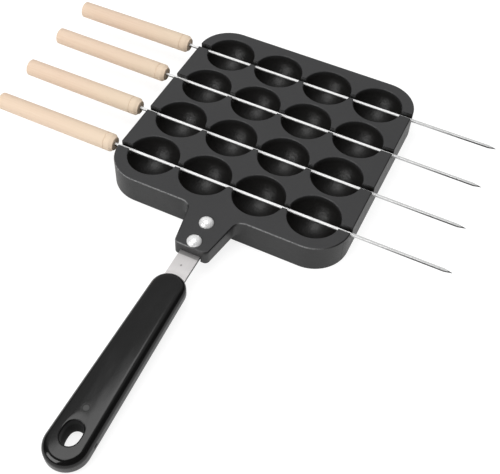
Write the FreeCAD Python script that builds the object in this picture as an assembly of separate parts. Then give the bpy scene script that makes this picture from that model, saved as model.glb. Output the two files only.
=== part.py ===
import FreeCAD, Part
import math
import os

# Takoyaki maker: a cast aluminium pan of sixteen half-round cups with a riveted
# handle, and four loose skewers lying in slots across the rows of cups.
# Millimetres. Z = 0 is the flat cooking face, and the origin is the middle of the
# cup grid on it. X runs along the skewers to their points, Y away from the handle.

V = FreeCAD.Vector
X_AXIS = V(1, 0, 0)
Z_AXIS = V(0, 0, 1)

# Cup grid
cups_per_side = 4
cup_pitch = 44.0
cup_radius = 20.0
cup_wall = 3.0
cup_rim_round = 0.6

# Pan
edge_land = 9.25
pan_height = 23.5
pan_corner_radius = 27.5
pan_top_round = 1.0
pan_foot_round = 0.6
plate_thickness = 4.0
skirt_wall = 3.5

# Skewer slots
slot_width = 5.3
slot_depth = 5.4
slot_rib_wall = 3.0

# Skewers
rod_side = 2.0
rod_point_length = 6.2
rod_reach = 71.5
rod_socket = 70.0
stick_diameter = 14.2
stick_back_diameter = 13.6
stick_length = 105.5
stick_tip_diameter = 11.0
stick_tip_taper = 3.0
stick_end_round = 1.6
stick_ring_from_front = 7.6
stick_ring_width = 0.7
stick_ring_depth = 0.35
stick_gap_to_pan = 8.5

# How each skewer happens to lie: along its slot, across it, and turned in it (degrees)
skewer_shifts = (-1.2, -0.4, 0.8, 4.0)
skewer_offsets = (0.15, 1.0, 0.0, 0.3)
skewer_turns = (0.18, -0.33, -0.15, 0.0)

# Lug that carries the handle
lug_length = 36.25
lug_root_half_width = 19.2
lug_front_half_width = 12.9
lug_cheek_depth = 12.0
lug_fillet = 8.0
lug_front_round = 3.5

# Strap
strap_width = 15.5
strap_thickness = 2.0
strap_top_depth = 7.0
strap_side_clearance = 0.2
strap_start_from_pan = 4.0
strap_bend_from_pan = 50.0
strap_corner = 2.5
strap_drop_angle = 1.9

# Rivets
rivet_diameter = 6.0
rivet_head_diameter = 10.7
rivet_head_height = 3.55
rivet_head_edge = 0.9
rivet_tail_diameter = 9.5
rivet_tail_height = 2.0
rivet_tail_edge = 0.4
rivet_spacing = 18.6
rivet_from_pan = 11.65

# Grip
grip_from_pan = 56.6
grip_length = 152.5
grip_front_half_width = 12.9
grip_end_half_width = 15.3
grip_front_thickness = 14.0
grip_end_thickness = 15.0
grip_edge_round = 5.0
grip_tang_above_middle = 2.4
hang_slot_width = 13.0
hang_slot_length = 17.0
hang_slot_from_end = 21.4
hang_lip_round = 1.0

# Tang in the grip, and the pin that holds it
tang_width = 11.0
tang_from_grip_end = 34.0
tang_clearance = 0.1
neck_length_in_grip = 15.0
pin_diameter = 4.0
pin_from_tang_end = 5.0
pin_below_face = 0.2

# How far the cutting blocks reach past what they cut
cut_margin = 1.0

# Worked out from the sizes above
grid_span = (cups_per_side - 1) * cup_pitch
pan_side = grid_span + 2 * (cup_radius + edge_land)
pan_half = pan_side / 2
row_places = [grid_span / 2 - i * cup_pitch for i in range(cups_per_side)]
lug_front_y = -pan_half - lug_length
strap_bottom = -strap_top_depth - strap_thickness
rivet_places = [-pan_half - rivet_from_pan, -pan_half - rivet_from_pan - rivet_spacing]
bend_y = -pan_half - strap_bend_from_pan
grip_front_y = -pan_half - grip_from_pan
grip_end_y = grip_front_y - grip_length
grip_middle_z = -strap_top_depth - strap_thickness / 2 - grip_tang_above_middle
neck_end_y = grip_front_y - neck_length_in_grip
tang_end_y = grip_end_y + tang_from_grip_end
pin_y = tang_end_y + pin_from_tang_end
hang_slot_y = grip_end_y + hang_slot_from_end
rod_axis_z = -slot_depth + rod_side / 2
stick_front_x = -pan_half - stick_gap_to_pan


def polygon_face(points):
    """Flat face bounded by straight edges through the points."""
    return Part.Face(Part.makePolygon(points + [points[0]]))


def rounded_square(side, radius, low, high):
    """Upright square block with rounded corners, centred on the grid."""
    block = Part.makeBox(side, side, high - low, V(-side / 2, -side / 2, low))
    return block.makeFillet(radius, upright_edges(block))


def upright_edges(shape):
    """Straight edges that stand along Z."""
    return [e for e in shape.Edges if abs(e.tangentAt(e.FirstParameter).z) > 0.99]


def edges_at_height(shape, height):
    """Edges that lie whole in one level plane."""
    return [
        e for e in shape.Edges
        if abs(e.BoundBox.ZMin - height) < 1e-6 and abs(e.BoundBox.ZMax - height) < 1e-6
    ]


def cup_centres():
    return [V(x, y, 0) for y in row_places for x in reversed(row_places)]


def lug_outline():
    """Tapered tongue in plan, from inside the skirt to the lug's front end."""
    root_y = -pan_half + skirt_wall
    return polygon_face([
        V(-lug_root_half_width, root_y, 0),
        V(-lug_root_half_width, -pan_half, 0),
        V(-lug_front_half_width, lug_front_y, 0),
        V(lug_front_half_width, lug_front_y, 0),
        V(lug_root_half_width, -pan_half, 0),
        V(lug_root_half_width, root_y, 0),
    ])


def lug_groove():
    """Groove under the lug that the strap lies in, open at the front."""
    half = strap_width / 2 + strap_side_clearance
    length = lug_length - strap_start_from_pan + strap_side_clearance
    return Part.makeBox(
        2 * half, length + cut_margin, lug_cheek_depth - strap_top_depth + cut_margin,
        V(-half, lug_front_y - cut_margin, -lug_cheek_depth - cut_margin),
    )


def lug():
    """Lug with rounded front corners."""
    tongue = lug_outline().extrude(V(0, 0, -lug_cheek_depth))
    front = [e for e in upright_edges(tongue) if abs(e.BoundBox.YMin - lug_front_y) < 1e-6]
    return tongue.makeFillet(lug_front_round, front)


def fillet_lug_roots(body):
    """Concave round where the lug's sides leave the skirt."""
    roots = [
        e for e in body.Edges
        if abs(e.BoundBox.YMin + pan_half) < 1e-4
        and abs(e.BoundBox.YMax + pan_half) < 1e-4
        and abs(abs(e.BoundBox.XMin) - lug_root_half_width) < 1e-4
        and e.BoundBox.XLength < 1e-4
        and e.BoundBox.ZLength > lug_cheek_depth / 2
    ]
    return body.makeFillet(lug_fillet, roots)


def pan_shell():
    """Outer casting: skirt, plate and lug, hollow from below."""
    outer = rounded_square(pan_side, pan_corner_radius, -pan_height, 0)
    body = fillet_lug_roots(outer.fuse(lug()).removeSplitter())
    body = body.makeFillet(pan_top_round, edges_at_height(body, 0))
    body = body.makeFillet(pan_foot_round, edges_at_height(body, -pan_height))
    hollow = rounded_square(
        pan_side - 2 * skirt_wall, pan_corner_radius - skirt_wall,
        -pan_height - cut_margin, -plate_thickness,
    )
    return body.cut(hollow)


def half_ball(radius, centre):
    """Lower half of a ball whose flat side is level with the cooking face."""
    return Part.makeSphere(radius, centre, Z_AXIS, -90, 0, 360)


def slot_rib(y):
    """Bar under one row that holds the floor and walls of its slot."""
    width = slot_width + 2 * slot_rib_wall
    length = pan_side - 2 * skirt_wall
    return Part.makeBox(
        length, width, slot_depth + slot_rib_wall,
        V(-length / 2, y - width / 2, -slot_depth - slot_rib_wall),
    )


def slot(y):
    """One skewer slot, right across the pan and out through both side walls."""
    return Part.makeBox(
        pan_side + 2 * cut_margin, slot_width, slot_depth + cut_margin,
        V(-pan_half - cut_margin, y - slot_width / 2, -slot_depth),
    )


def rivet_holes(low, high):
    """Round holes for both rivets, through everything between two heights."""
    tall = high - low + 2 * cut_margin
    return [
        Part.makeCylinder(rivet_diameter / 2, tall, V(0, y, low - cut_margin))
        for y in rivet_places
    ]


def pan_body():
    """Whole casting: shell, cups, slot ribs, cup hollows, slots and rivet holes."""
    body = pan_shell()
    solid_cups = [half_ball(cup_radius + cup_wall, c) for c in cup_centres()]
    ribs = [slot_rib(y) for y in row_places]
    body = body.fuse(solid_cups + ribs).removeSplitter()
    body = body.cut([half_ball(cup_radius, c) for c in cup_centres()])
    rims = [
        e for e in edges_at_height(body, 0)
        if isinstance(e.Curve, Part.Circle) and abs(e.Curve.Radius - cup_radius) < 1e-6
    ]
    body = body.makeFillet(cup_rim_round, rims)
    body = body.cut([slot(y) for y in row_places])
    return body.cut([lug_groove()] + rivet_holes(-lug_cheek_depth, 0))


def drop_turn(shape):
    """Turn a level piece down by the strap's bend, about the bend line."""
    shape.rotate(V(0, bend_y, -strap_top_depth), X_AXIS, strap_drop_angle)
    return shape


def flat_strip(width, start_y, end_y):
    """Level strip of strap thickness, with its top at the strap's height."""
    return Part.makeBox(
        width, start_y - end_y, strap_thickness,
        V(-width / 2, end_y, strap_bottom),
    )


def handle_strap():
    """Steel strap: level under the lug, then a slight bend down, then the narrower tang."""
    start_y = -pan_half - strap_start_from_pan
    level = flat_strip(strap_width, start_y, bend_y)
    corners = [e for e in upright_edges(level) if abs(e.BoundBox.YMin - start_y) < 1e-6]
    level = level.makeFillet(strap_corner, corners)
    neck = drop_turn(flat_strip(strap_width, bend_y, neck_end_y))
    tang = drop_turn(flat_strip(tang_width, bend_y, tang_end_y))
    strap = level.fuse([neck, tang]).removeSplitter()
    return strap.cut(rivet_holes(strap_bottom, -strap_top_depth) + [pin_hole()])


def button(radius, edge_height, height, base, direction):
    """Round head: a short upright edge with a shallow ball segment on it."""
    crown = height - edge_height
    ball_radius = (radius ** 2 + crown ** 2) / (2 * crown)
    ball = Part.makeSphere(ball_radius, base + direction * (height - ball_radius))
    return ball.common(Part.makeCylinder(radius, height + cut_margin, base, direction))


def rivet(y):
    """Round-head rivet through the lug and the strap, headed over below."""
    shank = Part.makeCylinder(rivet_diameter / 2, -strap_bottom, V(0, y, strap_bottom))
    head = button(
        rivet_head_diameter / 2, rivet_head_edge, rivet_head_height, V(0, y, 0), Z_AXIS,
    )
    tail = button(
        rivet_tail_diameter / 2, rivet_tail_edge, rivet_tail_height,
        V(0, y, strap_bottom), -Z_AXIS,
    )
    return shank.fuse([head, tail]).removeSplitter()


def grip_plan_wire(z):
    """Closed outline of the grip at one height: two arcs joined by straight sides."""
    front = grip_front_half_width
    end = grip_end_half_width
    front_y = grip_front_y - front
    end_y = grip_end_y + end
    slope = math.asin((end - front) / (front_y - end_y))
    side = V(math.cos(slope), math.sin(slope), 0)
    other = V(-side.x, side.y, 0)
    front_centre = V(0, front_y, z)
    end_centre = V(0, end_y, z)
    tip = V(0, front_y + front, z)
    heel = V(0, end_y - end, z)
    return Part.Wire([
        Part.Arc(front_centre + side * front, tip, front_centre + other * front).toShape(),
        Part.LineSegment(front_centre + other * front, end_centre + other * end).toShape(),
        Part.Arc(end_centre + other * end, heel, end_centre + side * end).toShape(),
        Part.LineSegment(end_centre + side * end, front_centre + side * front).toShape(),
    ])


def grip_face_z(y, side):
    """Height of the level grip's top (side 1) or underside (side -1) at one place."""
    share = (grip_front_y - y) / grip_length
    thickness = grip_front_thickness + (grip_end_thickness - grip_front_thickness) * share
    return grip_middle_z + side * thickness / 2


def grip_wedge():
    """Block wider and longer than the grip, between its sloping top and underside."""
    wide = grip_end_half_width + cut_margin
    near = grip_front_y + cut_margin
    far = grip_end_y - cut_margin
    side = polygon_face([
        V(-wide, near, grip_face_z(near, -1)), V(-wide, far, grip_face_z(far, -1)),
        V(-wide, far, grip_face_z(far, 1)), V(-wide, near, grip_face_z(near, 1)),
    ])
    return side.extrude(V(2 * wide, 0, 0))


def grip_blank():
    """Grip without its openings: rounded in plan, thicker at the end, edges well rounded."""
    tall = grip_end_thickness
    block = Part.Face(grip_plan_wire(grip_middle_z - tall)).extrude(V(0, 0, 2 * tall))
    body = block.common(grip_wedge())
    band = grip_front_thickness / 4
    rims = [
        e for e in body.Edges
        if e.BoundBox.ZMin > grip_middle_z + band or e.BoundBox.ZMax < grip_middle_z - band
    ]
    return body.makeFillet(grip_edge_round, rims)


def hang_slot():
    """Long hole right through the grip's end for hanging it up."""
    straight = (hang_slot_length - hang_slot_width) / 2
    tall = 2 * grip_end_thickness
    low = grip_middle_z - tall / 2
    ends = [
        Part.makeCylinder(hang_slot_width / 2, tall, V(0, hang_slot_y + shift, low))
        for shift in (-straight, straight)
    ]
    middle = Part.makeBox(
        hang_slot_width, 2 * straight, tall,
        V(-hang_slot_width / 2, hang_slot_y - straight, low),
    )
    return ends[0].fuse([ends[1], middle]).removeSplitter()


def round_hang_lips(body):
    """Round over both mouths of the hanging hole."""
    half_width = hang_slot_width / 2 + 0.01
    half_length = hang_slot_length / 2 + 0.01
    lips = [
        e for e in body.Edges
        if e.BoundBox.XMin > -half_width
        and e.BoundBox.XMax < half_width
        and e.BoundBox.YMin > hang_slot_y - half_length
        and e.BoundBox.YMax < hang_slot_y + half_length
        and e.BoundBox.ZLength < hang_slot_width / 4
    ]
    return body.makeFillet(hang_lip_round, lips)


def pin_hole():
    """Space of the tang pin, turned down with the grip."""
    tall = grip_end_thickness + 2 * cut_margin
    return drop_turn(Part.makeCylinder(pin_diameter / 2, tall, V(0, pin_y, grip_middle_z - tall / 2)))


def tang_socket():
    """Space in the grip for the wide neck and the narrower tang of the strap."""
    start_y = grip_front_y + cut_margin
    grow = tang_clearance
    neck = flat_strip(strap_width + 2 * grow, start_y, neck_end_y - grow)
    tang = flat_strip(tang_width + 2 * grow, start_y, tang_end_y - grow)
    return neck.fuse(tang).removeSplitter()


def handle_grip():
    """Black grip with its tang socket, hanging hole and pin hole."""
    body = round_hang_lips(grip_blank().cut(hang_slot()))
    body = drop_turn(body.cut(tang_socket()))
    return body.cut(pin_hole())


def tang_pin():
    """Straight pin through the grip and the tang, just below both faces."""
    low = grip_face_z(pin_y, -1) + pin_below_face
    high = grip_face_z(pin_y, 1) - pin_below_face
    return drop_turn(Part.makeCylinder(pin_diameter / 2, high - low, V(0, pin_y, low)))


def lay_in_slot(shape, row):
    """Move a skewer piece from the X axis to its place in one row's slot."""
    shape.rotate(V(0, 0, 0), Z_AXIS, skewer_turns[row])
    shape.translate(V(skewer_shifts[row], row_places[row] + skewer_offsets[row], rod_axis_z))
    return shape


def skewer_rod():
    """Square steel rod on the X axis, with a four-sided point."""
    half = rod_side / 2
    start = stick_front_x - rod_socket
    shoulder = pan_half + rod_reach - rod_point_length
    bar = Part.makeBox(shoulder - start, rod_side, rod_side, V(start, -half, -half))
    corners = [V(shoulder, a * half, b * half) for a, b in ((-1, -1), (1, -1), (1, 1), (-1, 1))]
    tip = V(shoulder + rod_point_length, 0, 0)
    sides = [polygon_face([corners[i], corners[(i + 1) % 4], tip]) for i in range(4)]
    point = Part.makeSolid(Part.makeShell(sides + [polygon_face(corners)]))
    return bar.fuse(point).removeSplitter()


def skewer_handle():
    """Turned wooden handle on the X axis: tapered front, scribed ring, bore for the rod."""
    front = stick_front_x
    radius = stick_diameter / 2
    back_radius = stick_back_diameter / 2
    back = front - stick_length
    ring = front - stick_ring_from_front
    ring_half = stick_ring_width / 2
    turn = stick_end_round * math.sqrt(0.5)
    rounded = back_radius - stick_end_round
    back_arc = Part.Arc(
        V(back, 0, rounded),
        V(back + stick_end_round - turn, 0, rounded + turn),
        V(back + stick_end_round, 0, back_radius),
    )
    side = Part.makePolygon([
        V(back + stick_end_round, 0, back_radius),
        V(ring - ring_half, 0, radius),
        V(ring, 0, radius - stick_ring_depth),
        V(ring + ring_half, 0, radius),
        V(front - stick_tip_taper, 0, radius),
        V(front, 0, stick_tip_diameter / 2),
        V(front, 0, 0),
        V(back, 0, 0),
        V(back, 0, rounded),
    ])
    wood = Part.Face(Part.Wire([back_arc.toShape()] + side.Edges)).revolve(V(0, 0, 0), X_AXIS, 360)
    hole = Part.makeBox(
        rod_socket + cut_margin, rod_side, rod_side,
        V(front - rod_socket, -rod_side / 2, -rod_side / 2),
    )
    return wood.cut(hole)


def write(name, shape):
    """Write one piece, which has to be a single closed solid."""
    if len(shape.Solids) != 1 or not shape.isValid():
        raise ValueError("%s: %d solids, valid %s" % (name, len(shape.Solids), shape.isValid()))
    shape.Solids[0].exportStep("parts/%s.step" % name)
    print("%-18s %9.1f mm3" % (name, shape.Volume))


os.makedirs("parts", exist_ok=True)
write("pan_body", pan_body())
write("handle_strap", handle_strap())
write("rivet_inner", rivet(rivet_places[0]))
write("rivet_outer", rivet(rivet_places[1]))
write("handle_grip", handle_grip())
write("tang_pin", tang_pin())
for row in range(cups_per_side):
    write("skewer_rod_%d" % (row + 1), lay_in_slot(skewer_rod(), row))
    write("skewer_handle_%d" % (row + 1), lay_in_slot(skewer_handle(), row))
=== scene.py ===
import math

import bmesh
import bpy
import numpy as np
from mathutils import Matrix, Vector


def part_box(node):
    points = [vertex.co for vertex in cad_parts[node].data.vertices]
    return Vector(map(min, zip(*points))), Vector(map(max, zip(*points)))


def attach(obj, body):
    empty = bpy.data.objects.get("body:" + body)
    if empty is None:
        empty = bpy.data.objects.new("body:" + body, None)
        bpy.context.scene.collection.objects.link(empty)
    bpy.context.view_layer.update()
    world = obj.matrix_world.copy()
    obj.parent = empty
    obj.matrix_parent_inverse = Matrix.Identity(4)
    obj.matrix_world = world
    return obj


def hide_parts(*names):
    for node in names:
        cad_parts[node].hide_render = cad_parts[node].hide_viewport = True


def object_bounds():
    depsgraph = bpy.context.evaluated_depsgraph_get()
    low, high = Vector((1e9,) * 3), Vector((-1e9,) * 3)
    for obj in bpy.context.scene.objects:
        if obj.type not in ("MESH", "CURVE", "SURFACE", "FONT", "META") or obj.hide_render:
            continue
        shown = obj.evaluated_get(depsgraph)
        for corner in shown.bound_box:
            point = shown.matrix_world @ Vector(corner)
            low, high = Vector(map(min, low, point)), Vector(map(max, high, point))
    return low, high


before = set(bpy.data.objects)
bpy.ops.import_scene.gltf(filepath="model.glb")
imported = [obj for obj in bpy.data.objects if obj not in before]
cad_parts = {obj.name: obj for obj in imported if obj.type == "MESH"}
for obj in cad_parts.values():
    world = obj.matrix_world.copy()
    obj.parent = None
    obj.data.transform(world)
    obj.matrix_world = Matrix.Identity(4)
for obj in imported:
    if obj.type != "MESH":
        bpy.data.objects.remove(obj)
cadBounds = [list(corner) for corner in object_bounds()]
mm = 0.001
print("loaded the packed pan, its handle and the skewers")


# Camera: fitted to the sixteen cup rims, millimetres and degrees in the row frame
photoView = {
    "azimuth": 22.777,
    "elevation": 51.427,
    "roll": 3.479,
    "distance": 671.63,
    "shiftRight": -15.00,
    "shiftUp": -84.38,
    "focalPixels": 859.01,
    "imageWidth": 500,
    "sensorWidth": 36.0,
}


def makeCamera():
    view = photoView
    azimuth, elevation, roll = (
        math.radians(view[key]) for key in ("azimuth", "elevation", "roll")
    )
    back = Vector((
        math.sin(azimuth) * math.cos(elevation),
        -math.cos(azimuth) * math.cos(elevation),
        math.sin(elevation),
    ))
    level = Vector((0, 0, 1)).cross(back).normalized()
    rise = back.cross(level)
    right = level * math.cos(roll) + rise * math.sin(roll)
    up = rise * math.cos(roll) - level * math.sin(roll)
    place = right * view["shiftRight"] + up * view["shiftUp"] + back * view["distance"]
    camera = bpy.data.objects.new("photoCamera", bpy.data.cameras.new("photoCamera"))
    camera.data.sensor_fit = "HORIZONTAL"
    camera.data.sensor_width = view["sensorWidth"]
    camera.data.lens = view["focalPixels"] / view["imageWidth"] * view["sensorWidth"]
    camera.data.clip_start = 0.02
    camera.data.clip_end = 20
    turn = Matrix((right, up, back)).transposed()
    camera.matrix_world = Matrix.Translation(place * mm) @ turn.to_4x4()
    bpy.context.scene.collection.objects.link(camera)
    bpy.context.scene.camera = camera


makeCamera()
print("camera stands where the photograph was taken")


# Shader maths: a wire is one output of a node, and sums on wires add Math nodes
class Wire:
    def __init__(self, board, socket):
        self.board = board
        self.socket = socket

    def math(self, operation, first, second=0.0):
        return self.board.node("ShaderNodeMath", {"operation": operation}, {0: first, 1: second})

    def __add__(self, other):
        return self.math("ADD", self, other)

    def __sub__(self, other):
        return self.math("SUBTRACT", self, other)

    def __mul__(self, other):
        return self.math("MULTIPLY", self, other)

    def __truediv__(self, other):
        return self.math("DIVIDE", self, other)

    def __rsub__(self, other):
        return self.math("SUBTRACT", other, self)

    __radd__ = __add__
    __rmul__ = __mul__

    def largest(self, other):
        return self.math("MAXIMUM", self, other)

    def root(self):
        return self.math("SQRT", self)

    def fraction(self):
        return self.math("FRACT", self)

    def size(self):
        return self.math("ABSOLUTE", self)


class Board:
    def __init__(self, tree):
        self.tree = tree
        tree.nodes.clear()

    def node(self, kind, settings=None, inputs=None, output=0):
        made = self.tree.nodes.new(kind)
        for name, value in (settings or {}).items():
            setattr(made, name, value)
        for name, value in (inputs or {}).items():
            if isinstance(value, Wire):
                self.tree.links.new(value.socket, made.inputs[name])
            else:
                made.inputs[name].default_value = value
        return Wire(self, made.outputs[output]) if made.outputs else made

    def place(self, scale=(1, 1, 1), shift=(0, 0, 0)):
        whole = self.node("ShaderNodeTexCoord", output="Object")
        return self.node("ShaderNodeMapping", {"vector_type": "POINT"}, {
            "Vector": whole, "Scale": scale, "Location": shift,
        })

    def parts(self, vector):
        split = self.node("ShaderNodeSeparateXYZ", {}, {0: vector}).socket.node
        return [Wire(self, socket) for socket in split.outputs]

    def noise(self, where, scale, detail=3.0, rough=0.5, warp=0.0):
        return self.node("ShaderNodeTexNoise", {}, {
            "Vector": where, "Scale": scale, "Detail": detail,
            "Roughness": rough, "Distortion": warp,
        })

    # Smooth step from start, where value is at low, to end, where it is at high
    def band(self, value, low, high, start=0.0, end=1.0):
        return self.node("ShaderNodeMapRange", {"interpolation_type": "SMOOTHSTEP"}, {
            "Value": value, "From Min": low, "From Max": high, "To Min": start, "To Max": end,
        })

    def blend(self, share, first, second):
        return self.node("ShaderNodeMix", {"data_type": "RGBA"}, {
            0: share,
            6: first if isinstance(first, Wire) else (*first, 1),
            7: second if isinstance(second, Wire) else (*second, 1),
        }, 2)

    def bump(self, height, strength, depth, under=None):
        inputs = {"Height": height, "Strength": strength, "Distance": depth}
        if under is not None:
            inputs["Normal"] = under
        return self.node("ShaderNodeBump", {}, inputs)

    def surface(self, inputs):
        shader = self.node("ShaderNodeBsdfPrincipled", {}, inputs)
        self.node("ShaderNodeOutputMaterial", {}, {"Surface": shader})


def newFinish(name):
    material = bpy.data.materials.new(name)
    material.use_nodes = True
    return material, Board(material.node_tree)


# Surfaces: a grid of points becomes a mesh, row by row
def gridFaces(rows, columns, closeRows):
    r = np.arange(rows if closeRows else rows - 1)
    r, c = np.meshgrid(r, np.arange(columns), indexing="ij")
    r2, c2 = (r + 1) % rows, (c + 1) % columns
    corners = (r * columns + c, r2 * columns + c, r2 * columns + c2, r * columns + c2)
    return np.stack([corner.ravel() for corner in corners], 1)


def signedVolume(points, quads):
    a, b, c, d = (points[quads[:, i]] for i in range(4))
    halves = np.cross(b, c) + np.cross(c, d)
    return (a * halves).sum()


# A closed pole is a ring drawn together into one point, so its quads become triangles
def surfaceMesh(name, grid, closeRows=False, sharpAngle=35):
    rows, columns = grid.shape[:2]
    points = grid.reshape(-1, 3)
    quads = gridFaces(rows, columns, closeRows)
    if signedVolume(points, quads) < 0:
        quads = quads[:, ::-1]
    mesh = bpy.data.meshes.new(name)
    mesh.from_pydata(points * mm, [], quads.tolist())
    piece = bpy.data.objects.new(name, mesh)
    bpy.context.scene.collection.objects.link(piece)
    sewUp(mesh)
    mesh.shade_smooth()
    mesh.set_sharp_from_angle(angle=math.radians(sharpAngle))
    return piece


# Merges the points of a pole and drops the faces that it leaves with no area
samePoint = 1e-7
noLength = 1e-8


def sewUp(mesh):
    sewn = bmesh.new()
    sewn.from_mesh(mesh)
    bmesh.ops.remove_doubles(sewn, verts=sewn.verts, dist=samePoint)
    bmesh.ops.dissolve_degenerate(sewn, dist=noLength, edges=sewn.edges)
    sewn.to_mesh(mesh)
    sewn.free()


# A round piece: radius as a function of place along its line, turned about that line
def turnedGrid(along, radius, axis, segments):
    angle = np.linspace(0, 2 * np.pi, segments, endpoint=False)
    grid = np.zeros((len(along), segments, 3))
    lineAxis = "XYZ".index(axis)
    first, second = (i for i in range(3) if i != lineAxis)
    grid[:, :, lineAxis] = np.asarray(along)[:, None]
    grid[:, :, first] = np.asarray(radius)[:, None] * np.cos(angle)
    grid[:, :, second] = np.asarray(radius)[:, None] * np.sin(angle)
    return grid


def quarterTurn(steps):
    return np.linspace(0, np.pi / 2, steps)


# Pan: the casting keeps its CAD mesh and gets its sprayed coat here. The pairs are bands in
# metres: where each begins and where it is full
panLook = {
    "faceColour": (0.029, 0.029, 0.030),
    "cloudColour": (0.036, 0.036, 0.037),
    # painted shade: darker colour inside the cups and slots
    "cupShadeColour": (0.0075, 0.007, 0.0065),
    "wallColour": (0.015, 0.015, 0.015),
    # painted highlight along the near top edge of the rim
    "rimHighlight": (0.19, 0.19, 0.19),
    "edgeShadeColour": (0.004, 0.004, 0.004),
    "litCheekColour": (0.034, 0.034, 0.034),
    "speckColour": (0.075, 0.075, 0.077),
    "specksOnFace": 0.45,
    "fewerInCups": 0.25,
    "roughness": 0.36,
    "cupRoughness": 0.34,
    "ior": 1.5,
    "grainSize": 900,
    "peelSize": 260,
    "cloudSize": 22,
    "speckSize": 1700,
    "pitSize": 620,
    "pitch": 44 * mm,
    "cupEdge": (20.2 * mm, 19.5 * mm),
    "slotEdge": (2.70 * mm, 2.45 * mm),
    "slotEnds": (96.5 * mm, 95.0 * mm),
    "outerRows": (90 * mm, 88 * mm),
    "belowFace": (-0.1 * mm, -0.9 * mm),
    "rimSide": (93.5 * mm, 94.5 * mm),
    "cornerCentre": 67.75 * mm,
    "rimCorner": (25.8 * mm, 26.8 * mm),
    "rimTop": (-0.02 * mm, -0.15 * mm),
    "rimBottom": (-0.95 * mm, -0.6 * mm),
    "wallTop": (-0.6 * mm, -1.6 * mm),
    "lugRoot": (-96 * mm, -99 * mm),
    "rightFlank": (7 * mm, 13 * mm),
    "leftFlank": (-4 * mm, -9 * mm),
    "leftFlankEnd": (-126 * mm, -123 * mm),
    "lugFront": (-120 * mm, -125 * mm),
    "frontRight": (-3 * mm, 3 * mm),
    "highlightNear": (-78 * mm, -90 * mm),
    "highlightLeft": (88 * mm, 70 * mm),
    "cheekTop": (-2.4 * mm, -3.0 * mm),
    "stepTop": (-0.3 * mm, -0.6 * mm),
    "stepBottom": (-2.4 * mm, -1.8 * mm),
    "shadedRight": (84 * mm, 92 * mm),
}


# 1 inside the cups and slots, 0 on the flat face and on the outer walls
def hollowMask(board, where):
    look, band = panLook, board.band
    x, y, z = board.parts(where)
    pitch = look["pitch"]
    wholeCells = 10
    cellX = ((x / pitch + wholeCells).fraction() - 0.5) * pitch
    cellY = ((y / pitch + wholeCells).fraction() - 0.5) * pitch
    reach = (cellX * cellX + cellY * cellY).root()
    cup = band(reach, *look["cupEdge"])
    slot = band(cellY.size(), *look["slotEdge"])
    within = band(x.size(), *look["slotEnds"]) * band(y.size(), *look["outerRows"])
    return cup.largest(slot) * within * band(z, *look["belowFace"])


# 1 on the rounded top edge all round the casting
def rimMask(board, where):
    look, band = panLook, board.band
    x, y, z = board.parts(where)
    beyond = band(x.size(), *look["rimSide"]).largest(band(y.size(), *look["rimSide"]))
    cornerX, cornerY = ((part.size() - look["cornerCentre"]).largest(0.0) for part in (x, y))
    corner = band((cornerX * cornerX + cornerY * cornerY).root(), *look["rimCorner"])
    return beyond.largest(corner) * band(z, *look["rimTop"]) * band(z, *look["rimBottom"])


# Edges of the pan and the lug, as shares from 0 to 1: a painted highlight along the near rim,
# painted light on the lit cheek, and painted shade along the dark edges
def edgeMasks(board, where, hollow):
    look, band = panLook, board.band
    x, y, z = board.parts(where)
    rim = rimMask(board, where) * (1 - hollow)
    onLug = band(y, *look["lugRoot"])
    rightFlank = band(x, *look["rightFlank"]) * onLug
    leftFlank = band(x, *look["leftFlank"]) * onLug * band(y, *look["leftFlankEnd"])
    frontRight = band(y, *look["lugFront"]) * band(x, *look["frontRight"])
    noHighlight = 1 - rightFlank.largest(leftFlank).largest(frontRight)
    # painted highlight: a light line on the near rim, broken by the grain and kept off the dark
    # flanks
    paintedHighlight = rim * band(y, *look["highlightNear"]) * band(x, *look["highlightLeft"]) * noHighlight
    # painted light: the lug's right cheek is painted lighter where light falls on it
    litCheek = band(z, *look["cheekTop"]) * rightFlank
    # painted shade: a dark line on the rim edges of the right side and the lug flanks, and in the
    # crease of the lug's front step
    step = band(z, *look["stepTop"]) * band(z, *look["stepBottom"]) * onLug
    shadedSides = rightFlank.largest(leftFlank).largest(band(x, *look["shadedRight"]))
    return paintedHighlight, litCheek, rim.largest(step) * shadedSides


def coatPan():
    look = panLook
    material, board = newFinish("panCoat")
    where = board.place()
    grain = board.noise(where, look["grainSize"], 4, 0.6)
    peel = board.noise(where, look["peelSize"], 2, 0.5)
    cloud = board.noise(where, look["cloudSize"], 3, 0.5)
    hollow = hollowMask(board, where)
    pits = board.noise(where, look["pitSize"], 3, 0.7) * hollow
    specks = board.band(board.noise(where, look["speckSize"], 2, 0.5), 0.62, 0.74)
    specks = specks * (look["specksOnFace"] - look["fewerInCups"] * hollow)
    outside = board.band(board.parts(where)[2], *look["wallTop"])
    paintedHighlight, litCheek, dark = edgeMasks(board, where, hollow)
    shade = board.blend(outside, look["faceColour"], look["wallColour"])
    shade = board.blend(board.band(cloud, 0.3, 0.7, 0.0, 0.3), shade, look["cloudColour"])
    # painted shade: the cups and slots take a darker colour where shade falls in them
    shade = board.blend(hollow, shade, look["cupShadeColour"])
    shade = board.blend(specks, shade, look["speckColour"])
    # painted highlight along the near rim
    shade = board.blend(paintedHighlight * board.band(grain, 0.3, 0.6, 0.1, 0.9), shade, look["rimHighlight"])
    # painted light on the lug's right cheek
    shade = board.blend(litCheek, shade, look["litCheekColour"])
    # painted shade along the rim edges and the lug's step
    shade = board.blend(dark, shade, look["edgeShadeColour"])
    rough = board.band(grain, 0.3, 0.7, -0.05, 0.06) + look["roughness"]
    rough = rough + hollow * (look["cupRoughness"] - look["roughness"])
    relief = board.bump(grain, 0.28, 0.2 * mm)
    relief = board.bump(peel, 0.16, 0.4 * mm, relief)
    relief = board.bump(pits, 0.55, 0.4 * mm, relief)
    board.surface({
        "Base Color": shade, "Roughness": rough, "Normal": relief, "IOR": look["ior"],
    })
    return material


def dressNode(node, material):
    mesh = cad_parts[node].data
    mesh.materials.clear()
    mesh.materials.append(material)


dressNode("pan_body", coatPan())
print("pan is coated")


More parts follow.
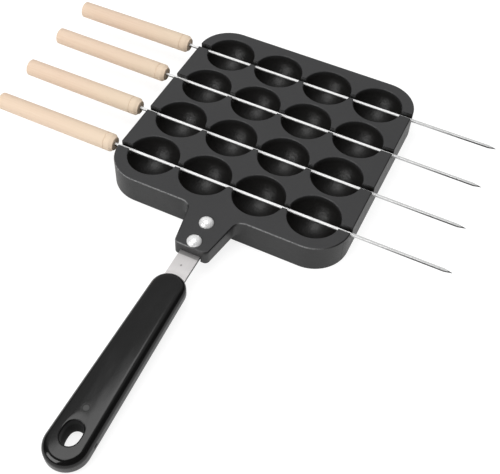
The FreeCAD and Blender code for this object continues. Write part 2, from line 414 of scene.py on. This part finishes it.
# Strap and tang pin keep their CAD meshes
strapLook = {
    "steelColour": (0.82, 0.795, 0.79),
    "brushing": (2600, 60, 2600),
    "metallic": 0.7,
    "roughness": 0.34,
    "strapShadeColour": (0.10, 0.10, 0.10),
    "shadedRightEdge": (7.45 * mm, 7.7 * mm),
    "lugShadowBand": (-135.2 * mm, -134.4 * mm),
    "lugShadowShare": 0.6,
    "markColour": (0.16, 0.13, 0.12),
    "markShare": 0.7,
    "markPlace": (-0.9 * mm, -143.5 * mm),
    "markRadius": 1.0 * mm,
}


# Brushed steel: fine lines drawn out along the smallest scale, a little darker and rougher
def brushedSteel(name, colour, roughness, scale):
    material, board = newFinish(name)
    lines = board.noise(board.place(scale), 1.0, 4, 0.6)
    dark = tuple(0.9 * part for part in colour)
    tone = board.blend(lines, colour, dark)
    rough = board.band(lines, 0.25, 0.75, roughness - 0.03, roughness + 0.04)
    return material, board, tone, rough, board.bump(lines, 0.04, 0.1 * mm)


def steelStrap():
    look = strapLook
    material, board, tone, rough, relief = brushedSteel(
        "strapSteel", look["steelColour"], look["roughness"], look["brushing"],
    )
    x, y, _ = board.parts(board.place())
    markX, markY = look["markPlace"]
    radius = look["markRadius"]
    away = ((x - markX) * (x - markX) + (y - markY) * (y - markY)).root()
    ragged = away + board.noise(board.place(), 1800, 2, 0.5) * radius
    mark = board.band(ragged, 1.5 * radius, 0.9 * radius)
    # painted shadow of the lug on the strap, near the lug's front
    lugShadow = board.band(y, *look["lugShadowBand"], 0.0, look["lugShadowShare"])
    tone = board.blend(mark * look["markShare"], tone, look["markColour"])
    # painted shade: the strap's right side face is darker
    tone = board.blend(board.band(x, *look["shadedRightEdge"]), tone, look["strapShadeColour"])
    tone = board.blend(lugShadow, tone, look["strapShadeColour"])
    board.surface({
        "Base Color": tone, "Metallic": look["metallic"], "Roughness": rough, "Normal": relief,
    })
    return material


pinLook = {
    "steelColour": (0.06, 0.06, 0.06),
    "roughness": 0.35,
    "brushing": (900, 900, 900),
}


def blackPin():
    look = pinLook
    material, board, tone, rough, relief = brushedSteel(
        "pinBlack", look["steelColour"], look["roughness"], look["brushing"],
    )
    board.surface({"Base Color": tone, "Metallic": 1.0, "Roughness": rough, "Normal": relief})
    return material


dressNode("handle_strap", steelStrap())
dressNode("tang_pin", blackPin())
print("strap and pin are brushed")


# Rivets: round heads on the middle line of the lug, low buttons under the strap
rivetShape = {
    "shankRadius": 3.0,
    "headRadius": 5.35,
    "headHeight": 3.55,
    "headPower": 2.0,
    "tailRadius": 4.75,
    "tailHeight": 2.0,
    "strapBottom": -9.0,
    "steps": 20,
    "segments": 72,
}


# Half outline of a round head: a power curve from the rim up to the crown
def headOutline(radius, height, power, steps):
    angle = quarterTurn(steps)
    return radius * np.cos(angle) ** (2 / power), height * np.sin(angle) ** (2 / power)


def makeRivet(node):
    shape = rivetShape
    low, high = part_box(node)
    centreY = (low.y + high.y) / 2 / mm
    power, steps = shape["headPower"], shape["steps"]
    bottom, shank = shape["strapBottom"], shape["shankRadius"]
    tailRadius, tailRise = headOutline(shape["tailRadius"], shape["tailHeight"], power, steps)
    headRadius, headRise = headOutline(shape["headRadius"], shape["headHeight"], power, steps)
    radius = np.concatenate([tailRadius[::-1], [shank, shank], headRadius])
    rise = np.concatenate([bottom - tailRise[::-1], [bottom, 0], headRise])
    grid = turnedGrid(rise, radius, "Z", shape["segments"])
    piece = surfaceMesh(node + "_turned", grid + np.array([0, centreY, 0]))
    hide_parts(node)
    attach(piece, "pan")
    return piece


rivetLook = {
    "brightColour": (1.0, 1.0, 1.0),
    "hammeredColour": (0.78, 0.78, 0.78),
    "metallic": 0.5,
    "hammerSize": 260,
    "fineSize": 2600,
}


def brightRivet():
    look = rivetLook
    material, board = newFinish("rivetMetal")
    where = board.place()
    hammer = board.noise(where, look["hammerSize"], 1, 0.5)
    fine = board.noise(where, look["fineSize"], 3, 0.6)
    struck = board.band(hammer, 0.4, 0.65, 0, 0.25)
    board.surface({
        "Base Color": board.blend(struck, look["brightColour"], look["hammeredColour"]),
        "Metallic": look["metallic"],
        "Roughness": board.band(fine, 0.3, 0.7, 0.24, 0.34),
        "Normal": board.bump(hammer, 0.25, 0.4 * mm),
    })
    return material


rivetFinish = brightRivet()
for rivetNode in ("rivet_inner", "rivet_outer"):
    makeRivet(rivetNode).data.materials.append(rivetFinish)
print("rivets are turned")


# Grip: a long body with one hole through it, so its surface is a ring in both ways
gripShape = {
    "frontY": -151.85,
    "endY": -304.35,
    "frontHalfWidth": 12.9,
    "endHalfWidth": 15.3,
    "frontHalfThickness": 7.0,
    "endHalfThickness": 7.5,
    "middleZ": -10.4,
    "edgeRound": 5.0,
    "crown": 0.35,
    "edgeZone": 7.0,
    "holeWidth": 13.0,
    "holeLength": 17.0,
    "holeFromEnd": 21.4,
    "holeStretch": 3,
    "holeDraft": 1.3,
    "lip": 1.0,
    "dropAngle": 1.9,
    "bendY": -145.25,
    "bendZ": -7.0,
    "arcSteps": 40,
    "sideSteps": 60,
    "edgeSteps": 18,
    "faceSteps": 18,
    "lipSteps": 7,
    "wallSteps": 4,
}


# The two circles that end the grip in plan: radii, centres on Y, and the slope of its sides
def gripCircles(shape):
    rf, re = shape["frontHalfWidth"], shape["endHalfWidth"]
    front, end = shape["frontY"] - rf, shape["endY"] + re
    return rf, re, front, end, math.asin((re - rf) / (front - end))


# Outline in plan: arcs of the two circles joined by the lines that touch both
def gripOutline(shape):
    rf, re, front, end, slope = gripCircles(shape)
    frontTurn = np.linspace(slope, np.pi - slope, shape["arcSteps"])
    endTurn = np.linspace(np.pi - slope, 2 * np.pi + slope, shape["arcSteps"])
    share = np.linspace(0, 1, shape["sideSteps"])[1:-1]
    arcFront = np.stack([rf * np.cos(frontTurn), front + rf * np.sin(frontTurn)], 1)
    arcEnd = np.stack([re * np.cos(endTurn), end + re * np.sin(endTurn)], 1)
    normalFront = np.stack([np.cos(frontTurn), np.sin(frontTurn)], 1)
    normalEnd = np.stack([np.cos(endTurn), np.sin(endTurn)], 1)
    left = arcFront[-1] + (arcEnd[0] - arcFront[-1]) * share[:, None]
    right = arcEnd[-1] + (arcFront[0] - arcEnd[-1]) * share[:, None]
    edge = np.concatenate([arcFront, left, arcEnd, right])
    normal = np.concatenate([
        normalFront, np.repeat(normalFront[-1:], len(share), 0),
        normalEnd, np.repeat(normalEnd[-1:], len(share), 0),
    ])
    return edge, normal


# How far inside the outline a point lies: from the nearer circle, or from the side line
def depthInside(plan, shape):
    rf, re, front, end, slope = gripCircles(shape)
    x, y = np.abs(plan[..., 0]), plan[..., 1]
    side = rf - (x * math.cos(slope) + (y - front) * math.sin(slope))
    nearFront = rf - np.hypot(x, y - front)
    nearEnd = re - np.hypot(x, y - end)
    depth = np.where(y - front > x * math.tan(slope), nearFront, side)
    return np.maximum(np.where(y - end < x * math.tan(slope), nearEnd, depth), 0)


# Half thickness at a point: a quarter circle near the edge, then a face with a slight crown
def halfThickness(plan, shape):
    share = (shape["frontY"] - plan[..., 1]) / (shape["frontY"] - shape["endY"])
    reach = shape["frontHalfWidth"] + (shape["endHalfWidth"] - shape["frontHalfWidth"]) * share
    full = shape["frontHalfThickness"]
    full = full + (shape["endHalfThickness"] - full) * share
    depth = depthInside(plan, shape)
    radius = shape["edgeRound"]
    inward = np.clip(1 - depth / radius, 0, 1)
    drop = radius * (1 - np.sqrt(1 - inward ** 2))
    return full - drop - shape["crown"] * np.clip(1 - depth / reach, 0, 1) ** 2


# Hole outline seen from its centre: a circle stretched along Y, one point for each direction
def holeOutline(edge, shape, grow):
    centre = np.array([0, shape["endY"] + shape["holeFromEnd"]])
    toEdge = edge - centre
    straight = (shape["holeLength"] - shape["holeWidth"]) / 2
    spread = np.unwrap(np.arctan2(toEdge[:, 1], toEdge[:, 0]))
    even = np.linspace(0, 1, len(spread)) * 2 * np.pi + spread[0]
    spread = (spread + even) / 2
    radius = shape["holeWidth"] / 2 + grow
    ring = np.stack([np.cos(spread), np.sin(spread)], 1) * radius
    ring[:, 1] += np.tanh(ring[:, 1] / radius * shape["holeStretch"]) * straight
    return centre + ring


def levelGripGrid(shape):
    edge, normal = gripOutline(shape)
    lip = shape["lip"]
    mouth = holeOutline(edge, shape, lip)
    wall = holeOutline(edge, shape, 0)
    deep = holeOutline(edge, shape, -shape["holeDraft"])
    away = (mouth - wall) / lip
    inner = edge - normal * shape["edgeZone"]
    faceShare = np.linspace(0, 1, shape["faceSteps"])[1:-1, None, None]
    topFace = mouth[None] + (inner - mouth)[None] * faceShare
    depth = shape["edgeZone"] * np.linspace(1, 0, shape["edgeSteps"]) ** 2
    rounding = edge[None] - normal[None] * depth[:, None, None]
    rounding[-1] = edge
    upper = np.concatenate([mouth[None], topFace, rounding])
    upperZ = halfThickness(upper, shape)
    turn = quarterTurn(shape["lipSteps"])[:-1, None]
    lipPlan = wall[None] + away[None] * (lip * (1 - np.cos(turn)))[:, :, None]
    lipZ = halfThickness(mouth, shape)[None] - lip * (1 - np.sin(turn))
    wallShare = np.linspace(-1, 1, shape["wallSteps"] + 1)[1:-1, None]
    wallZ = lipZ[:1] * wallShare
    wallPlan = deep[None] + (wall - deep)[None] * (wallShare[:, :, None] + 1) / 2
    deepLip = deep[None] + (mouth - deep)[None] * (1 - np.cos(turn))[:, :, None]
    plan = np.concatenate([wallPlan, lipPlan, upper, upper[-2::-1], deepLip[::-1]])
    rise = np.concatenate([wallZ, lipZ, upperZ, -upperZ[-2::-1], -lipZ[::-1]])
    return np.concatenate([plan, rise[:, :, None]], 2)


# Turns level points down about the strap's bend
def dropDown(points, shape):
    turn = math.radians(shape["dropAngle"])
    y = points[..., 1] - shape["bendY"]
    z = points[..., 2] - shape["bendZ"]
    turned = points.copy()
    turned[..., 1] = shape["bendY"] + y * math.cos(turn) - z * math.sin(turn)
    turned[..., 2] = shape["bendZ"] + y * math.sin(turn) + z * math.cos(turn)
    return turned


def makeGrip():
    grid = levelGripGrid(gripShape)
    grid[..., 2] += gripShape["middleZ"]
    dropped = dropDown(grid, gripShape)
    piece = surfaceMesh("handle_grip_moulded", dropped, closeRows=True, sharpAngle=60)
    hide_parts("handle_grip")
    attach(piece, "pan")
    return piece


# The pin's end shows as a disc in a ring, and a small dark mark lies on the right side
gripLook = {
    "baseColour": (0.003, 0.003, 0.003),
    "smearColour": (0.005, 0.005, 0.005),
    # painted reflection: the grip's lower sides are lighter
    "sideSheenAndShade": (0.024, 0.024, 0.024),
    "ringColour": (0.004, 0.004, 0.004),
    "pinColour": (0.050, 0.050, 0.050),
    "markAndShadeColour": (0.002, 0.002, 0.002),
    "ior": 1.48,
    "waveSize": 60,
    "smearSize": 140,
    "dustSize": 1500,
    "top": (-13 * mm, -11 * mm),
    "side": (3.4 * mm, 1.8 * mm),
    "pinPlace": (-0.8 * mm, -265.3 * mm),
    "pinEdge": (2.2 * mm, 1.8 * mm),
    "pinRing": (3.8 * mm, 2.4 * mm),
    "markPlace": (-281.2 * mm, -14.4 * mm),
    "markLength": (1.9 * mm, 1.4 * mm),
    "markHeight": (1.5 * mm, 1.1 * mm),
    "markFrom": (10.2 * mm, 11.2 * mm),
    "holeSquash": 0.6,
    "holeEdge": (7.3 * mm, 6.8 * mm),
}


def glossGrip():
    look = gripLook
    material, board = newFinish("gripBlack")
    band = board.band
    where = board.place()
    x, y, z = board.parts(where)
    wave = board.noise(board.place((1, 0.35, 1)), look["waveSize"], 2, 0.5)
    dust = board.noise(where, look["dustSize"], 3, 0.6)
    smear = board.noise(board.place((1, 0.2, 1)), look["smearSize"], 3, 0.6, 0.4)
    pinX, pinY = look["pinPlace"]
    fromPin = ((x - pinX) * (x - pinX) + (y - pinY) * (y - pinY)).root()
    onTop = band(z, *look["top"])
    disc = band(fromPin, *look["pinEdge"]) * onTop
    ring = band(fromPin, *look["pinRing"]) * onTop
    markY, markZ = look["markPlace"]
    mark = band((y - markY).size(), *look["markLength"])
    mark = mark * band((z - markZ).size(), *look["markHeight"]) * band(x, *look["markFrom"])
    holeY = (gripShape["endY"] + gripShape["holeFromEnd"]) * mm
    fromHole = (x * x + (y - holeY) * (y - holeY) * look["holeSquash"]).root()
    # the small mark is the grip's own; darkening the hole's wall is painted shade
    dark = mark.largest(band(fromHole, *look["holeEdge"]))
    droop = (y - gripShape["bendY"] * mm) * math.tan(math.radians(gripShape["dropAngle"]))
    side = band(z - gripShape["middleZ"] * mm - droop, *look["side"])
    smeared = band(smear, 0.4, 0.75, 0, 0.5)
    tone = board.blend(smeared, look["baseColour"], look["smearColour"])
    tone = board.blend(ring * 0.8, tone, look["ringColour"])
    tone = board.blend(disc * 0.9, tone, look["pinColour"])
    # painted reflection of the white floor on the grip's lower sides and underside
    tone = board.blend(side, tone, look["sideSheenAndShade"])
    tone = board.blend(dark, tone, look["markAndShadeColour"])
    rough = band(smear, 0.35, 0.75, 0.11, 0.17) + band(dust, 0.6, 0.8, 0, 0.05)
    rough = rough + 0.16 * side + 0.3 * disc.largest(ring) + 0.45 * dark
    relief = board.bump(wave, 0.10, 1.2 * mm)
    relief = board.bump(dust, 0.03, 0.1 * mm, relief)
    relief = board.bump(ring - disc, -0.35, 0.3 * mm, relief)
    board.surface({
        "Base Color": tone, "Roughness": rough, "Normal": relief, "IOR": look["ior"],
    })
    return material


makeGrip().data.materials.append(glossGrip())
print("grip is moulded")


# Skewers: how each happens to lie in its slot, along it, across it and turned in it
skewerPlaces = {
    "rows": (66, 22, -22, -66),
    "axisHeight": -4.4,
    "shifts": (-1.2, -0.4, 0.8, 4.0),
    "offsets": (0.15, 1.0, 0.0, 0.3),
    "turns": (0.18, -0.33, -0.15, 0.0),
    "stickFront": -103.75,
    "stickLength": 105.5,
    "rodSocket": 70.0,
    "rodTip": 166.75,
}


# Turns a grid drawn on the X axis and moves it to its slot
def layInSlot(grid, row):
    facts = skewerPlaces
    turn = math.radians(facts["turns"][row])
    laid = grid.copy()
    x, y = grid[..., 0], grid[..., 1]
    laid[..., 0] = x * math.cos(turn) - y * math.sin(turn) + facts["shifts"][row]
    laid[..., 1] = x * math.sin(turn) + y * math.cos(turn)
    laid[..., 1] += facts["rows"][row] + facts["offsets"][row]
    laid[..., 2] += facts["axisHeight"]
    return laid


def rideSkewer(piece, node, row):
    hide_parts(node)
    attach(piece, "skewer_%d" % (row + 1))
    return piece


# Rods: a square bar with softened corners, drawn in to a four-sided point
rodShape = {
    "halfSide": 1.0,
    "corner": 0.28,
    "cornerSteps": 5,
    "pointLength": 6.2,
    "tipHalf": 0.06,
    "bodySteps": 40,
}


# Section of the bar: a square with rounded corners, as one closed ring
def barSection(half, corner, steps):
    turn = quarterTurn(steps)
    ring = []
    for quarter in range(4):
        angle = turn + quarter * np.pi / 2
        middle = quarter * np.pi / 2 + np.pi / 4
        centre = (half - corner) * math.sqrt(2) * np.array([math.cos(middle), math.sin(middle)])
        ring.append(centre + corner * np.stack([np.cos(angle), np.sin(angle)], 1))
    return np.concatenate(ring)


def makeRod(row):
    shape = rodShape
    half = shape["halfSide"]
    section = barSection(half, shape["corner"], shape["cornerSteps"])
    tip = skewerPlaces["rodTip"]
    start = skewerPlaces["stickFront"] - skewerPlaces["rodSocket"]
    body = np.linspace(start, tip - shape["pointLength"], shape["bodySteps"])
    along = np.concatenate([body[:1], body, [tip, tip]])
    size = np.concatenate([[0], np.ones(len(body)), [shape["tipHalf"] / half, 0]])
    grid = np.zeros((len(along), len(section), 3))
    grid[:, :, 0] = along[:, None]
    grid[:, :, 1:] = size[:, None, None] * section[None]
    node = "skewer_rod_%d" % (row + 1)
    piece = surfaceMesh(node + "_drawn", layInSlot(grid, row), sharpAngle=50)
    return rideSkewer(piece, node, row)


# Handles: turned wood, outline measured along X from the front end back
stickShape = {
    "radius": 7.1,
    "backRadius": 6.8,
    "frontRadius": 5.5,
    "taper": 3.0,
    "frontRound": 0.7,
    "ringFromFront": 7.6,
    "ringHalfWidth": 0.35,
    "ringDepth": 0.35,
    "backRound": 1.6,
    "crown": 0.45,
    "boreRadius": 1.45,
    "boreDepth": 4.0,
    "boreLip": 0.15,
    "shoulderBefore": 0.5,
    "shoulderDrop": 0.16,
    "shoulderAfter": 0.4,
    "grooveFloor": 0.1,
    "bodyFromRing": 2,
    "roundSteps": 8,
    "capSteps": 7,
    "bodySteps": 36,
    "segments": 72,
}


def stickOutline():
    shape = stickShape
    length = skewerPlaces["stickLength"]
    turn = quarterTurn(shape["roundSteps"])
    radius, back, tip = shape["radius"], shape["backRadius"], shape["frontRadius"]
    bore, lip, deep = shape["boreRadius"], shape["boreLip"], shape["boreDepth"]
    hole = [(deep, 0), (deep, bore), (lip, bore), (0, bore + lip)]
    soft = shape["frontRound"]
    nose = [(soft - soft * math.cos(a), tip - soft + soft * math.sin(a)) for a in turn]
    taper = shape["taper"]
    shoulder = [
        (taper - shape["shoulderBefore"], radius - shape["shoulderDrop"]),
        (taper + shape["shoulderAfter"], radius),
    ]
    ring, wide, floor = shape["ringFromFront"], shape["ringHalfWidth"], shape["grooveFloor"]
    low = radius - shape["ringDepth"]
    groove = [
        (ring - wide, radius), (ring - floor, low), (ring + floor, low), (ring + wide, radius),
    ]
    soft, crown = shape["backRound"], shape["crown"]
    start, stop = ring + shape["bodyFromRing"], length - soft
    share = np.linspace(0, 1, shape["bodySteps"])
    body = [(start + (stop - start) * t, radius + (back - radius) * t) for t in share]
    heel = [
        (stop + (soft - crown) * math.sin(a), back - soft + soft * math.cos(a)) for a in turn[1:]
    ]
    inner = back - soft
    cap = [
        (length - crown * (r / inner) ** 2, r)
        for r in np.linspace(inner, 0, shape["capSteps"])[1:]
    ]
    return np.array(hole + nose + shoulder + groove + body + heel + cap)


def makeStick(row):
    along, radius = stickOutline().T
    grid = turnedGrid(skewerPlaces["stickFront"] - along, radius, "X", stickShape["segments"])
    node = "skewer_handle_%d" % (row + 1)
    piece = surfaceMesh(node + "_turned", layInSlot(grid, row), sharpAngle=50)
    return rideSkewer(piece, node, row)


woodLook = {
    "pale": (0.700, 0.545, 0.420),
    "warm": (0.640, 0.455, 0.325),
    "yellow": (0.690, 0.560, 0.425),
    "pore": (0.470, 0.310, 0.210),
    # painted shade on the front end face
    "frontEndShade": (0.450, 0.350, 0.255),
    "frontEnd": (-0.5 * mm, -0.1 * mm),
    "yellowFrom": -70 * mm,
    "fibres": (55, 1500, 1500),
    "poreLines": (120, 2600, 2600),
    "swaySize": 60,
    "sway": 1.6,
    "patchSize": 35,
    "ior": 1.4,
    "ringSpacing": 1.9 * mm,
    "heart": ((0, 11.0), (3.0, -12.0), (-4.0, 10.5), (9.0, 8.0)),
}


# Wood: growth rings round a heart line beside the stick, with fine pores along the grain
def turnedWood(row):
    look = woodLook
    material, board = newFinish("skewerWood%d" % (row + 1))
    where = board.place()
    x, y, z = board.parts(where)
    heartY, heartZ = look["heart"][row]
    y = y - (skewerPlaces["rows"][row] + heartY) * mm
    z = z - (skewerPlaces["axisHeight"] + heartZ) * mm
    sway = board.noise(board.place((0.25, 1, 1), (0.31 * row, 0, 0)), look["swaySize"], 2, 0.5)
    ring = ((y * y + z * z).root() / look["ringSpacing"] + sway * look["sway"]).fraction()
    late = board.band(ring, 0.35, 0.95) * board.band(ring, 1.0, 0.96)
    fibre = board.noise(board.place(look["fibres"], (0.7 * row, 0, 0)), 1.0, 3, 0.6)
    pores = board.noise(board.place(look["poreLines"], (row, 0, 0)), 1.0, 2, 0.5)
    pores = board.band(pores, 0.66, 0.74)
    front = (skewerPlaces["stickFront"] + skewerPlaces["shifts"][row]) * mm
    frontEndShade = board.band(x, *(front + edge for edge in look["frontEnd"]))
    tone = board.blend(late * 0.28, look["pale"], look["warm"])
    tone = board.blend(board.band(fibre, 0.35, 0.75, 0, 0.30), tone, look["warm"])
    patch = board.noise(board.place((0.3, 1, 1), (0.17 * row, 0, 0)), look["patchSize"], 2, 0.5)
    yellow = board.band(x, front + look["yellowFrom"], front, 0.0, 0.7)
    yellow = yellow + board.band(patch, 0.4, 0.7, 0, 0.3)
    tone = board.blend(yellow, tone, look["yellow"])
    tone = board.blend(pores * 0.25, tone, look["pore"])
    # painted shade: the front end face is darker where it turns away from the light
    tone = board.blend(frontEndShade, tone, look["frontEndShade"])
    board.surface({
        "Base Color": tone,
        "Roughness": board.band(fibre, 0.3, 0.7, 0.55, 0.70),
        "Normal": board.bump(fibre - pores * 0.4, 0.10, 0.2 * mm),
        "IOR": look["ior"],
    })
    return material


# Rod steel: bright on top, with painted shade low down over the pan and on the sides towards the
# point.
# The first two bands are depths below the top of the rod
rodLook = {
    "steelColour": (0.92, 0.92, 0.92),
    "sideSheenAndShade": (0.07, 0.07, 0.07),
    "brushing": (60, 2200, 2200),
    "roughness": 0.24,
    "sides": (0.25 * mm, 0.6 * mm),
    "under": (0.7 * mm, 1.0 * mm),
    "panEnd": (95.5 * mm, 94.5 * mm),
    "towardsPoint": (95 * mm, 145 * mm),
    "metalOverPan": 0.15,
    "metalAdded": 0.55,
}


def rodSteel():
    look = rodLook
    material, board, tone, rough, relief = brushedSteel(
        "rodSteel", look["steelColour"], look["roughness"], look["brushing"],
    )
    x, _, z = board.parts(board.place())
    top = (skewerPlaces["axisHeight"] + rodShape["halfSide"]) * mm
    sides, under = (
        board.band(z, *(top - depth for depth in look[name])) for name in ("sides", "under")
    )
    overPan = board.band(x, *look["panEnd"])
    far = board.band(x, *look["towardsPoint"])
    # painted shade on the rod's sides towards the point and low down over the pan
    tone = board.blend((sides * far).largest(under * overPan), tone, look["sideSheenAndShade"])
    metal = look["metalOverPan"] + look["metalAdded"] * (1 - overPan)
    board.surface({"Base Color": tone, "Metallic": metal, "Roughness": rough, "Normal": relief})
    return material


rodFinish = rodSteel()
for skewerRow in range(4):
    makeRod(skewerRow).data.materials.append(rodFinish)
    makeStick(skewerRow).data.materials.append(turnedWood(skewerRow))
print("skewers are drawn and turned")


# Studio: white floor under the pan's foot rim, a pale wall behind, a dark room in front
studio = {
    "floorSide": 12.0,
    "floorGap": 0.0002,
    "floorPlain": 0.86,
    "floorGlow": 0.80,
    "floorShade": 0.30,
    "floorInGloss": 0.55,
    "diffuseSky": 0.62,
    "roomShine": 0.07,
    "wallShine": 0.50,
    "wallCentre": (-0.28, 0.68, 0.68),
    "wallEdge": (0.52, 0.86),
    "lamps": {
        "topLamp": {
            "place": (-0.195, -0.11, 1.50), "aim": (-0.195, -0.11, 0),
            "size": (0.9, 0.9), "power": 6.0, "spin": -38,
        },
        "frontLamp": {
            "place": (-0.60, -1.15, 0.76), "aim": (0, 0, 0),
            "size": (1.0, 0.75), "power": 10.0,
        },
        "fillLamp": {
            "place": (0.25, 0.25, 2.2), "aim": (0, 0, 0),
            "size": (2.0, 2.0), "power": 7.0, "hidden": True,
        },
    },
}


def rays(board, *names):
    light = board.tree.nodes.new("ShaderNodeLightPath")
    return [Wire(board, light.outputs[name]) for name in names]


# The floor glows white to the eye and in gloss, and is plain paint to all other light
def makeFloor():
    half = studio["floorSide"] / 2
    height = cadBounds[0][2] - studio["floorGap"]
    square = ((-half, -half), (half, -half), (half, half), (-half, half))
    mesh = bpy.data.meshes.new("floor")
    mesh.from_pydata([(x, y, height) for x, y in square], [], [(0, 1, 2, 3)])
    floor = bpy.data.objects.new("floor", mesh)
    bpy.context.scene.collection.objects.link(floor)
    material, board = newFinish("floorWhite")
    camera, glossy, through = rays(board, "Is Camera Ray", "Is Glossy Ray", "Is Transmission Ray")
    seen = camera.largest(glossy).largest(through)
    plain, soft = (
        board.node("ShaderNodeBsdfDiffuse", {}, {"Color": (shade, shade, shade, 1)})
        for shade in (studio["floorPlain"], studio["floorShade"])
    )
    strength = studio["floorGlow"] * (1 - glossy * (1 - studio["floorInGloss"]))
    glow = board.node("ShaderNodeEmission", {}, {"Color": (1, 1, 1, 1), "Strength": strength})
    white = board.node("ShaderNodeAddShader", {}, {0: soft, 1: glow})
    mixed = board.node("ShaderNodeMixShader", {}, {0: seen, 1: plain, 2: white})
    board.node("ShaderNodeOutputMaterial", {}, {"Surface": mixed})
    mesh.materials.append(material)


def makeSky():
    world = bpy.data.worlds.new("studioSky")
    world.use_nodes = True
    bpy.context.scene.world = world
    board = Board(world.node_tree)
    x, y, z = board.parts(board.node("ShaderNodeTexCoord", output="Generated"))
    wallX, wallY, wallZ = Vector(studio["wallCentre"]).normalized()
    facing = x * wallX + y * wallY + z * wallZ
    shine = board.band(facing, *studio["wallEdge"], studio["roomShine"], studio["wallShine"])
    camera, glossy = rays(board, "Is Camera Ray", "Is Glossy Ray")
    plain = glossy * shine + (1 - glossy) * studio["diffuseSky"]
    strength = plain * (1 - camera) + camera
    back = board.node("ShaderNodeBackground", {}, {"Color": (1, 1, 1, 1), "Strength": strength})
    board.node("ShaderNodeOutputWorld", {}, {"Surface": back})


def makeLamp(name, facts):
    light = bpy.data.lights.new(name, "AREA")
    light.shape = "RECTANGLE"
    light.size, light.size_y = facts["size"]
    light.energy = facts["power"]
    lamp = bpy.data.objects.new(name, light)
    lamp.location = facts["place"]
    away = Vector(facts["aim"]) - Vector(facts["place"])
    lamp.rotation_euler = away.to_track_quat("-Z", "Y").to_euler()
    lamp.rotation_euler.z += math.radians(facts.get("spin", 0))
    lamp.visible_glossy = not facts.get("hidden", False)
    bpy.context.scene.collection.objects.link(lamp)


makeFloor()
makeSky()
for lampName, lampFacts in studio["lamps"].items():
    makeLamp(lampName, lampFacts)
bpy.context.scene.view_settings.view_transform = "Standard"
print("studio is lit")
